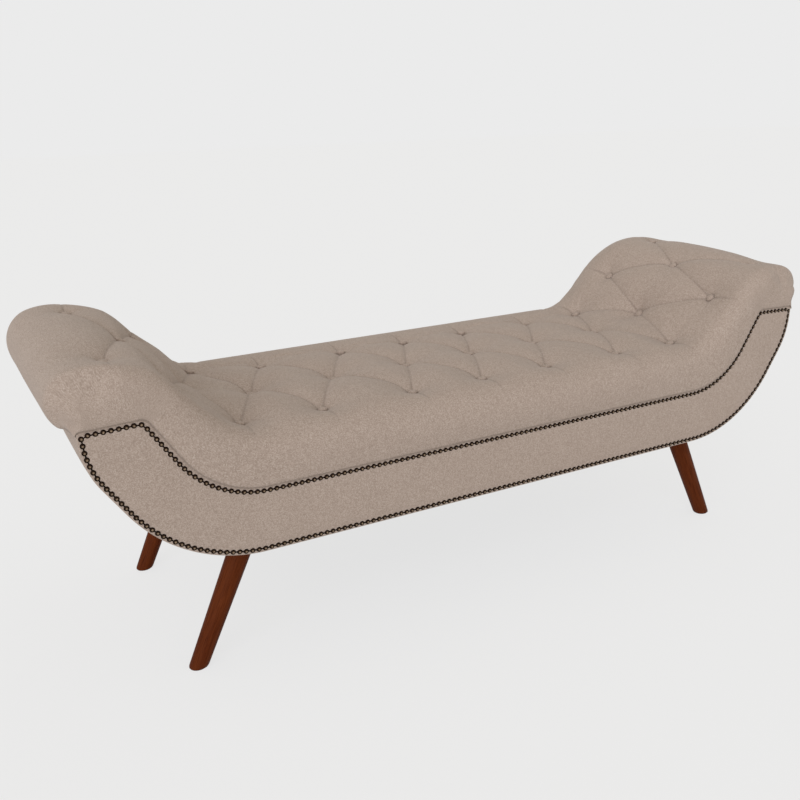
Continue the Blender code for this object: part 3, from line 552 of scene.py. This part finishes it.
for side_name, side in (("left", -1.0), ("right", 1.0)):
    for row_name, row in (("front", -1.0), ("back", 1.0)):
        lean = Matrix.Translation((side * leg_foot_x, row * leg_y, 0.0)) @ Matrix.Rotation(-side * leg_lean, 4, "Y")
        taper = (leg_top_radius - leg_foot_radius) / leg_length
        loops, grain = [], []
        for ring in range(foot_rings):
            arc = math.pi / 2 * ring / (foot_rings - 1)
            inset = leg_rounding * (1.0 - math.sin(arc))
            rise = leg_rounding * (1.0 - math.cos(arc))
            loop = []
            for angle in np.arange(leg_sides) * 2.0 * math.pi / leg_sides:
                way = Vector((math.cos(angle), math.sin(angle)))
                reach = leg_foot_radius - inset
                drop = lean @ Vector((way.x * reach, way.y * reach, 0.0))
                slide = -(drop.z - rise) / math.cos(leg_lean)
                local = Vector((way.x * (reach + taper * slide), way.y * (reach + taper * slide), slide))
                loop.append(lean @ local)
                grain.append(local)
            loops.append(loop)
        for height in np.linspace(shaft_start, leg_length - top_gap, shaft_rings):
            radius = leg_foot_radius + taper * height
            loop = []
            for angle in np.arange(leg_sides) * 2.0 * math.pi / leg_sides:
                local = Vector((radius * math.cos(angle), radius * math.sin(angle), height))
                loop.append(lean @ local)
                grain.append(local)
            loops.append(loop)
        points = np.array(loops)
        own_place = np.array((side, row, side * 0.37 + row))
        leg = solid(row_name + "_" + side_name + "_turned_leg", points, loft_faces(*points.shape[:2]), wood, 35.0,
                    grain=np.array(grain) + own_place)
        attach(leg, "root")
        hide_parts(row_name + "_" + side_name + "_leg")


# Foam core. One block of upholstery foam inside the cushion, glued down on the seat and arm boards.
# Open cells give it a pitted face, creamy and a little uneven in colour. They are drawn 1.7 mm wide, about
# three times the real ones.
def through(knots, places):
    """Smooth curve through knots, read at places between 0 and the last knot's number."""
    knots = np.asarray(knots, float)
    ends = [2 * knots[0] - knots[1]], [2 * knots[-1] - knots[-2]]
    held = np.concatenate((ends[0], knots, ends[1]))
    number = np.clip(np.floor(places).astype(int), 0, len(knots) - 2)
    share = (places - number)[:, None]
    before, start, end, after = (held[number + step] for step in range(4))
    return (start + 0.5 * share * (end - before + share * (2 * before - 5 * start + 4 * end - after
            + share * (3 * (start - end) + after - before))))


crest_line = ((0.0, 0.4425, 0.0), (0.4363, 0.0), (0.0935, 44.67), (0.0947, 0.0), (0.1203, -39.67),
              (0.0561, -25.0), (0.1323, -124.14))
rest_line = ((0.0, 0.3376, 0.0), (0.4647, 0.0), (0.158786, 57.5), (0.078055, 0.0), (0.021496, -59.5),
             (0.081427, 0.0), (0.01397, -92.0))
# Distances along the padding's crest, and those along the frame's edge that carry them.
crest_knots = (0.0, 0.4363, 0.5298, 0.6018, 0.7395, 0.7798, 0.8008, 0.8339, 0.9332)
rest_knots = (0.0, 0.42009, 0.57585, 0.70154, 0.72261, 0.75561, 0.78818, 0.80447, 0.81843)


def ease(value, start, end):
    """Smooth step from 0 at start to 1 at end."""
    share = np.clip((value - start) / (end - start), 0.0, 1.0)
    return share * share * (3.0 - 2.0 * share)


def column_at(run):
    """Foot, crest and outward step of the padding at a signed distance along the crest line."""
    side = -1.0 if run < 0 else 1.0
    x, z, heading = spot_on(crest_line, abs(run))
    foot_x, foot_z, _ = spot_on(rest_line, np.interp(abs(run), crest_knots, rest_knots))
    outward = np.array((-side * math.sin(heading), math.cos(heading)))
    return np.array((side * foot_x, foot_z)), np.array((side * x, z)), outward


seat_depth = 0.5600
# Where the padding of the seat passes into that of an arm, along the crest line.
arm_start, arm_end = 0.40, 0.56
foam_reach = 0.79
foam_arm_height = 0.55
foam_arm_inset = 0.012
foam_columns, foam_half_rows = 161, 34
foam_section = ((0.0185, 0.0), (0.0185, 0.12), (0.0185, 0.26), (0.0205, 0.36), (0.030, 0.44), (0.048, 0.49),
                (0.090, 0.50), (0.280, 0.50))
foam, tree, shader = principled("open_cell_foam", 0.95)
place = add(tree, "TexCoord")["Object"]
cells = add(tree, "TexVoronoi", {"Vector": place, "Scale": 600.0})["Distance"]
clouds = add(tree, "TexNoise", {"Vector": place, "Scale": 12.0, "Detail": 3.0})["Fac"]
tone = add(tree, "Mix", {0: 0.4, 2: clouds, 3: cells})[0]
add(tree, "ValToRGB", {0: tone}, shader.inputs["Base Color"], stops=((0.25, "#D6C793"), (0.6, "#E9DDB0")))
add(tree, "Bump", {"Height": cells, "Distance": 0.0006, "Strength": 0.7}, shader.inputs["Normal"])
half = through(foam_section, np.linspace(0.0, len(foam_section) - 1, foam_half_rows))
section = np.concatenate((half, np.column_stack((seat_depth - half[-2::-1, 0], half[-2::-1, 1]))))
loops = []
for run in np.linspace(-foam_reach, foam_reach, foam_columns):
    foot, crest, outward = column_at(run)
    on_arm = ease(abs(run), arm_start, arm_end)
    loop = []
    for inward, height in section:
        height *= 1.0 + (foam_arm_height - 1.0) * on_arm
        middle_share = 2.0 * inward / seat_depth - 1.0
        depth = (inward - seat_depth / 2) - foam_arm_inset * on_arm * middle_share
        loop.append((*np.insert(foot + (crest - foot) * height, 1, depth),))
    loops.append(loop)
points = np.array(loops)
core = solid("foam_block", points, loft_faces(*points.shape[:2]), foam, 50.0)
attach(core, "root")
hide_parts("foam_core")


# Cushion. One deep-buttoned linen cushion over the seat and both arms, pleated from button to button.
# The cloth swells between the buttons, folds into sharp creases along the diamonds, and rolls over the edges.
# Twine through the foam holds the buttons down, and the edges are tacked to the frame above the nails.

# Each point of the section: distance in from the front face, and heights over the seat, over the slope of an arm
# and over its roll, as shares of the way from the frame up to the crest line.
front_section = ((0.014, 0.0, 0.0, 0.0), (0.002, -0.008, -0.008, -0.008), (-0.0034, -0.018, -0.018, -0.018),
                 (-0.0054, 0.060, 0.060, 0.060), (-0.0062, 0.20, 0.214, 0.214), (-0.0068, 0.33, 0.349, 0.349),
                 (-0.0060, 0.47, 0.476, 0.476), (-0.0020, 0.61, 0.603, 0.603), (0.0068, 0.735, 0.710, 0.710),
                 (0.0200, 0.825, 0.785, 0.785), (0.0376, 0.895, 0.812, 0.812), (0.0630, 0.945, 0.835, 0.835),
                 (0.0925, 0.975, 0.852, 0.852), (0.130, 0.992, 0.880, 0.880), (0.180, 1.0, 0.915, 0.915),
                 (0.2457, 1.0, 0.955, 0.955))
back_section = ((0.3115, 1.0, 0.980, 0.980), (0.362, 0.988, 1.005, 1.005), (0.400, 0.966, 1.035, 1.035),
                (0.440, 0.938, 1.025, 1.025), (0.480, 0.868, 0.890, 0.925), (0.510, 0.790, 0.680, 0.770),
                (0.532, 0.740, 0.440, 0.610), (0.5495, 0.640, 0.215, 0.450), (0.5605, 0.525, 0.115, 0.320),
                (0.5660, 0.397, 0.072, 0.225), (0.5672, 0.285, 0.051, 0.155), (0.5664, 0.180, 0.033, 0.095),
                (0.5654, 0.060, 0.020, 0.040), (0.5634, -0.018, -0.010, -0.010), (0.558, -0.008, -0.005, -0.005),
                (0.546, 0.0, 0.0, 0.0))
# Where the slope passes into the roll. All such pairs are distances along the crest line.
roll_passage = 0.67, 0.80
# Near its front and back faces the roll is drawn in: how far, how near to a face, at most what share of its
# padding, from where on, and where and by how much that fades again.
roll_inset = 0.0490
roll_inset_reach = 0.0145
roll_inset_limit = 0.7
roll_inset_start = 0.729, 0.796
roll_inset_fade = 0.826, 0.866
roll_inset_fade_share = 0.61
least_height = 0.001
# At its far end the roll flattens onto the frame.
roll_close = 0.926, 0.9332
roll_close_share = 0.34
# Under its overhang the faces of the roll are tucked in, most at half height.
roll_tuck = 0.0115
roll_tuck_start = 0.824, 0.907
tuck_at_foot, tuck_growth = 0.35, 4.0
# Tuft columns from left to right: distance along the crest line, and how deep the buttons are pulled,
# in the front and the back row for the outer columns. A middle tuft sits between each two outer columns.
outer_columns = ((-0.735, 0.0195, 0.0185), (-0.597, 0.0200, 0.0140), (-0.473, 0.0230, 0.0150),
                 (-0.330, 0.0270, 0.0210), (-0.151, 0.0270, 0.0170), (0.0, 0.0260, 0.0180), (0.151, 0.0260, 0.0170),
                 (0.330, 0.0260, 0.0210), (0.473, 0.0250, 0.0250), (0.597, 0.0180, 0.0230), (0.766, 0.0130, 0.0160))
inner_columns = ((-0.664, 0.0150), (-0.526, 0.0260), (-0.4048, 0.0310), (-0.2383, 0.0290), (-0.0766, 0.0280),
                 (0.0766, 0.0260), (0.2383, 0.0270), (0.4048, 0.0270), (0.526, 0.0320), (0.6735, 0.0230))
front_row, middle_row, back_row = 0.0840, 0.2457, 0.4000
crest_length = length_of(crest_line)
coarse_step = 0.006
# A button pulls the cloth into a wide pit, with a small cup under the button itself.
pit_reach = 0.045
pit_sharpness = 1.1
pit_cut = 0.12
cup_reach = 0.012
cup_share = 0.08
# A crease runs from button to button: a soft valley, and in it a narrow groove. It is deeper near the buttons
# and goes on a little past them.
crease_depth = 0.0100
crease_reach, groove_reach, groove_share = 0.026, 0.007, 0.16
crease_gain = 0.6
crease_overrun = 0.012
valley_sharpness = 1.3
# A pleat runs from a button of an outer row over the edge and fades out. Those at the bend of the arms are deeper.
pleat_depth = 0.0075
pleat_length = 0.085
pleat_flare = 1.004
pleat_reach, pleat_groove_reach, pleat_groove_share = 0.016, 0.005, 0.4
pleat_lead = 12.0
pleat_fullness = 0.8
corner_run = 0.473
corner_pleat_depth = 0.0120
# Pits and valleys run into one another without a step.
blend_power = 2.6
# The sharp fold at the bottom of a crease, weaker halfway, and a ring round each button. Each presses a shallow
# groove into the cloth and is also painted darker as shade.
fold_width = 0.0019
fold_depth = 0.0015
fold_middle = 0.45
gather_and_shade_radius = 0.0085
gather_and_shade_width = 0.0024
gather_and_shade_share = 0.62
# Painted shade: light hardly gets into a fold, or under the lip of cloth along the seam, so the cloth is painted
# darker there, with a thin painted shadow line along each lower edge.
fold_shade = 0.36
seam_run = 0.0190
seam_width = 0.0022
seam_painted_shadow = 0.40

# Rows are measured along the cloth, with the padding taken as this high. Only the upper part of the section is
# searched for them, since its ends turn back under the edges.
padding_height = 0.105
coarse_section = np.array(front_section + back_section)
fine_section = through(coarse_section, np.linspace(0.0, len(coarse_section) - 1, 4000))
upper = slice(800, 3200)
spans = np.linalg.norm(np.diff(fine_section[:, :2] * (1.0, padding_height), axis=0), axis=1)
section_run = np.concatenate(([0.0], np.cumsum(spans)))
middle_run = np.interp(middle_row, fine_section[upper, 0], section_run[upper])
rows_at = {row: np.interp(row, fine_section[upper, 0], section_run[upper]) - middle_run
           for row in (front_row, middle_row, back_row)}


def skin_at(runs, acrosses):
    """Undented skin of the cushion on a grid: distances along the crest line by distances across it."""
    columns = [column_at(run) for run in runs]
    foot, crest, outward = (np.array(part)[:, None, :] for part in zip(*columns))
    inward, seat_height, slope_height, roll_height = (
        np.interp(acrosses + middle_run, section_run, fine_section[:, part])[None, :, None] for part in range(4))
    runs = np.abs(runs)[:, None, None]
    on_arm = ease(runs, arm_start, arm_end)
    arm_height = slope_height + (roll_height - slope_height) * ease(runs, *roll_passage)
    height = seat_height * (1.0 - on_arm) + arm_height * on_arm
    height = height * (1.0 - roll_close_share * ease(runs, *roll_close))
    edge = np.clip(np.minimum(inward, seat_depth - inward), 0.0, None)
    inset = roll_inset * np.exp(-(edge / roll_inset_reach) ** 2)
    fade = 1.0 - roll_inset_fade_share * ease(runs, *roll_inset_fade)
    inset = inset * ease(runs, *roll_inset_start) * fade
    padding = np.linalg.norm(crest - foot, axis=2, keepdims=True)
    room = roll_inset_limit * padding * np.clip(height, least_height, None)
    inset = room * (1.0 - np.exp(-inset / room))
    spots = foot + (crest - foot) * height - outward * inset
    bulge = np.clip((tuck_at_foot + tuck_growth * height) * (1.0 - height), 0.0, None)
    tuck = roll_tuck * ease(runs, *roll_tuck_start) * bulge
    depth = inward - seat_depth / 2 + tuck * np.sign(seat_depth / 2 - inward)
    return np.concatenate((spots[..., :1], depth, spots[..., 1:]), axis=2)


def grid_normals(grid):
    """Outward unit normals of a grid of points."""
    along = np.gradient(grid, axis=0)
    across = np.gradient(grid, axis=1)
    normals = np.cross(along, across)
    return normals / np.maximum(np.linalg.norm(normals, axis=2, keepdims=True), 1e-12)


tufts, creases, pleats = [], [], []
for run, front_depth, back_depth in outer_columns:
    for row, depth, reach in ((front_row, front_depth, -pleat_length), (back_row, back_depth, pleat_length)):
        tufts.append((run, rows_at[row], depth))
        pleats.append(((run, rows_at[row]), (run * pleat_flare, rows_at[row] + reach),
                       corner_pleat_depth if abs(run) == corner_run else pleat_depth))
for number, (run, depth) in enumerate(inner_columns):
    tufts.append((run, rows_at[middle_row], depth))
    for neighbour in outer_columns[number:number + 2]:
        creases += [((neighbour[0], rows_at[row]), (run, rows_at[middle_row])) for row in (front_row, back_row)]


def dents(run, across):
    """How deep the cushion's skin is drawn in, and how much of that is a sharp fold that is also painted as shade,
    at points of the skin.
    """
    pit = np.zeros_like(run)
    fold = np.zeros_like(run)
    for tuft_run, tuft_across, depth in tufts:
        away = np.hypot(run - tuft_run, across - tuft_across)
        # A ring round each button: a shallow groove in the cloth and painted shade under the button's rim.
        fold = np.maximum(fold, gather_and_shade_share * np.exp(-((away - gather_and_shade_radius) / gather_and_shade_width) ** 2))
        funnel = np.clip(np.exp(-(away / pit_reach) ** pit_sharpness) * (1.0 + pit_cut) - pit_cut, 0.0, None)
        cup = np.exp(-(away / cup_reach) ** 2)
        pit = np.maximum(pit, depth * ((1.0 - cup_share) * funnel + cup_share * cup))
    valley = np.zeros_like(run)
    for start, end in creases:
        way = np.array((end[0] - start[0], end[1] - start[1]))
        length = np.linalg.norm(way)
        way /= length
        along = (run - start[0]) * way[0] + (across - start[1]) * way[1]
        away = np.abs((run - start[0]) * way[1] - (across - start[1]) * way[0])
        nearness = np.abs(2.0 * np.clip(along / length, 0.0, 1.0) - 1.0)
        ends = np.clip(np.minimum(along, length - along) / crease_overrun + 1.0, 0.0, 1.0)
        deep = crease_depth * (1.0 + crease_gain * nearness ** 3) * ends
        soft = np.exp(-(away / crease_reach) ** valley_sharpness)
        shape = (1.0 - groove_share) * soft + groove_share * np.exp(-away / groove_reach)
        valley = np.maximum(valley, deep * shape)
        tight = fold_middle + (1.0 - fold_middle) * nearness ** 2
        fold = np.maximum(fold, ends * tight * np.exp(-(away / fold_width) ** 2))
    for start, end, deepest in pleats:
        reach = end[1] - start[1]
        share = (across - start[1]) / reach
        away = np.abs(run - start[0] - (end[0] - start[0]) * share)
        fade = np.clip(1.0 - share, 0.0, 1.0) * np.clip(share * pleat_lead + 1.0, 0.0, 1.0)
        fade = fade ** pleat_fullness
        soft = np.exp(-(away / pleat_reach) ** valley_sharpness)
        shape = (1.0 - pleat_groove_share) * soft + pleat_groove_share * np.exp(-away / pleat_groove_reach)
        valley = np.maximum(valley, deepest * fade * shape)
        fold = np.maximum(fold, fade * np.exp(-(away / fold_width) ** 2))
    return (pit ** blend_power + valley ** blend_power) ** (1.0 / blend_power), fold


cloth_steps = 20


def swell(grid, hold):
    """The skin under pressure from inside, as cloth held where hold is 1: Blender's cloth, stepped and read back."""
    columns, rows = grid.shape[:2]
    faces = []
    for column in range(columns - 1):
        for row in range(rows - 1):
            here = column * rows + row
            faces.append((here, here + rows, here + rows + 1, here + 1))
    mesh = bpy.data.meshes.new("cushion_cloth")
    mesh.from_pydata(grid.reshape(-1, 3).tolist(), [], faces)
    cloth_piece = placed("cushion_cloth", mesh)
    held = cloth_piece.vertex_groups.new(name="held")
    for number, weight in enumerate(hold.ravel()):
        if weight > 0.0:
            held.add((number,), float(weight), "REPLACE")
    cloth = cloth_piece.modifiers.new("cloth", "CLOTH")
    setup = cloth.settings
    setup.vertex_group_mass = "held"
    setup.pin_stiffness = 1.0
    setup.use_pressure = True
    setup.uniform_pressure_force = 2.2
    setup.effector_weights.gravity = 0.0
    setup.mass = 0.3
    setup.quality = 5
    setup.tension_stiffness = 30.0
    setup.compression_stiffness = 30.0
    setup.shear_stiffness = 12.0
    setup.bending_stiffness = 0.8
    setup.air_damping = 4.0
    cloth.point_cache.frame_start = 1
    cloth.point_cache.frame_end = cloth_steps
    for step in range(1, cloth_steps + 1):
        bpy.context.scene.frame_set(step)
    swollen = cloth_piece.evaluated_get(bpy.context.evaluated_depsgraph_get())
    flat = np.empty(columns * rows * 3)
    swollen.data.vertices.foreach_get("co", flat)
    bpy.data.objects.remove(cloth_piece)
    bpy.context.scene.frame_set(1)
    return flat.reshape(grid.shape)


runs = np.linspace(-crest_length, crest_length, round(2 * crest_length / coarse_step) + 1)
low_across, high_across = section_run[0] - middle_run, section_run[-1] - middle_run
acrosses = np.linspace(low_across, high_across, round((high_across - low_across) / coarse_step) + 1)
run_grid, across_grid = np.meshgrid(runs, acrosses, indexing="ij")
skin = skin_at(runs, acrosses)
depth, fold = dents(run_grid, across_grid)
deep_way = np.array([column_at(run)[2] for run in runs])
deep_way = np.insert(deep_way, 1, 0.0, axis=1)[:, None, :]
skin = skin - deep_way * depth[..., None]
# Held in the folds, in the pits and along its tacked rim, the cloth may swell this much and no more.
swollen_cap = 0.0045
pinned_depth = 0.016
fold_hold = 0.9
side_rim, end_rim = 5, 4
hold = np.clip(np.maximum(fold * fold_hold, depth > pinned_depth), 0.0, 1.0)
hold[:, :side_rim] = hold[:, -side_rim:] = 1.0
hold[:end_rim] = hold[-end_rim:] = 1.0
moved = swell(skin, hold) - skin
reach = np.linalg.norm(moved, axis=2, keepdims=True)
skin = skin + moved * np.minimum(1.0, swollen_cap / np.maximum(reach, 1e-9))


def between(grid, along, across):
    """Points of a grid at fractional columns and rows, on a smooth surface through its points."""
    columns = through(grid.reshape(grid.shape[0], -1), along).reshape(len(along), *grid.shape[1:])
    turned = through(columns.transpose(1, 0, 2).reshape(columns.shape[1], -1), across)
    return turned.reshape(len(across), len(along), 3).transpose(1, 0, 2)


fineness = 3
along = np.linspace(0.0, len(runs) - 1, (len(runs) - 1) * fineness + 1)
across = np.linspace(0.0, len(acrosses) - 1, (len(acrosses) - 1) * fineness + 1)
skin = between(skin, along, across)
fine_runs = np.interp(along, np.arange(len(runs)), runs)
fine_acrosses = np.interp(across, np.arange(len(acrosses)), acrosses)
run_grid, across_grid = np.meshgrid(fine_runs, fine_acrosses, indexing="ij")
depth, fold = dents(run_grid, across_grid)
skin = skin - grid_normals(skin) * (fold_depth * fold)[..., None]
# Painted shade: the fold marks darken the cloth, and a thin painted shadow line runs near each lower edge of the
# cushion.
from_edge = np.minimum(across_grid - low_across, high_across - across_grid)
painted_shades = fold * fold_shade + seam_painted_shadow * np.exp(-((from_edge - seam_run) / seam_width) ** 2)

under_rows = 8
loops, weave, folds = [], [], []
for number, run in enumerate(fine_runs):
    foot = column_at(run)[0]
    ends = skin[number, -1, 1], skin[number, 0, 1]
    under = [(foot[0], y, foot[1]) for y in np.linspace(*ends, under_rows + 2)[1:-1]]
    loops.append(np.concatenate((skin[number], under)))
    weave += [(run, across, 0.0) for across in fine_acrosses] + [(run, across, 0.5) for across in range(under_rows)]
    folds += list(painted_shades[number]) + [0.0] * under_rows
points = np.array(loops)
cushion_linen = linen("slub_linen_cushion")
cushion = solid("buttoned_cushion", points, loft_faces(*points.shape[:2]), cushion_linen, 80.0,
                weave=np.array(weave), fold=np.array(folds))
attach(cushion, "root")
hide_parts("tufted_cushion")


# Buttons. A metal shell covered with a disc of the same linen, tied down through the foam to the board.
# The cloth is drawn tight over the dome and gathered behind it, so the weave runs straight across each one.
button_radius = 0.0085
button_rim = 0.0006
button_height = 0.0036
button_sides = 24
button_tilt = 0.2
# How far the rim stands above the bottom of the pit, over the seat and over an arm.
button_lift = 0.0052
arm_button_lift = 0.0012
button_linen = linen("slub_linen_buttons")
button_rounds = [(0.0060, -0.0060), (0.0080, -0.0030), (button_radius, button_rim)]
button_rounds += [(button_radius * math.cos(angle), button_rim + button_height * math.sin(angle))
                  for angle in np.linspace(0.18, 0.48 * math.pi, 6)]
front_buttons = [(run, front_depth) for run, front_depth, back_depth in outer_columns]
back_buttons = [(run, back_depth) for run, front_depth, back_depth in outer_columns]
for row_name, row, buttons in (("front", front_row, front_buttons), ("middle", middle_row, inner_columns),
                               ("back", back_row, back_buttons)):
    for number, (run, depth) in enumerate(buttons, start=1):
        seat = skin_at(np.array([run]), np.array([rows_at[row]]))[0, 0]
        _, _, outward = column_at(run)
        up = Vector((outward[0], 0.0, outward[1]))
        lift = button_lift + (arm_button_lift - button_lift) * ease(abs(run), arm_start, arm_end)
        middle = Vector(seat) - up * (depth - float(lift))
        tilt = Vector((noise.noise((run, row, 0.5)), noise.noise((run, row, 4.5)), 0.0)) * button_tilt
        turn = Vector((0.0, 0.0, 1.0)).rotation_difference(up + tilt).to_matrix()
        points, marks = [], []
        for radius, height in button_rounds:
            for angle in np.arange(button_sides) * 2.0 * math.pi / button_sides:
                local = Vector((radius * math.cos(angle), radius * math.sin(angle), height))
                points.append(middle + turn @ local)
                marks.append((local.x + run, local.y + row, 0.0))
        button = solid("%s_covered_button_%02d" % (row_name, number), points,
                       loft_faces(len(button_rounds), button_sides), button_linen, 50.0, weave=np.array(marks))
        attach(button, "root")
        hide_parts("%s_button_%02d" % (row_name, number))
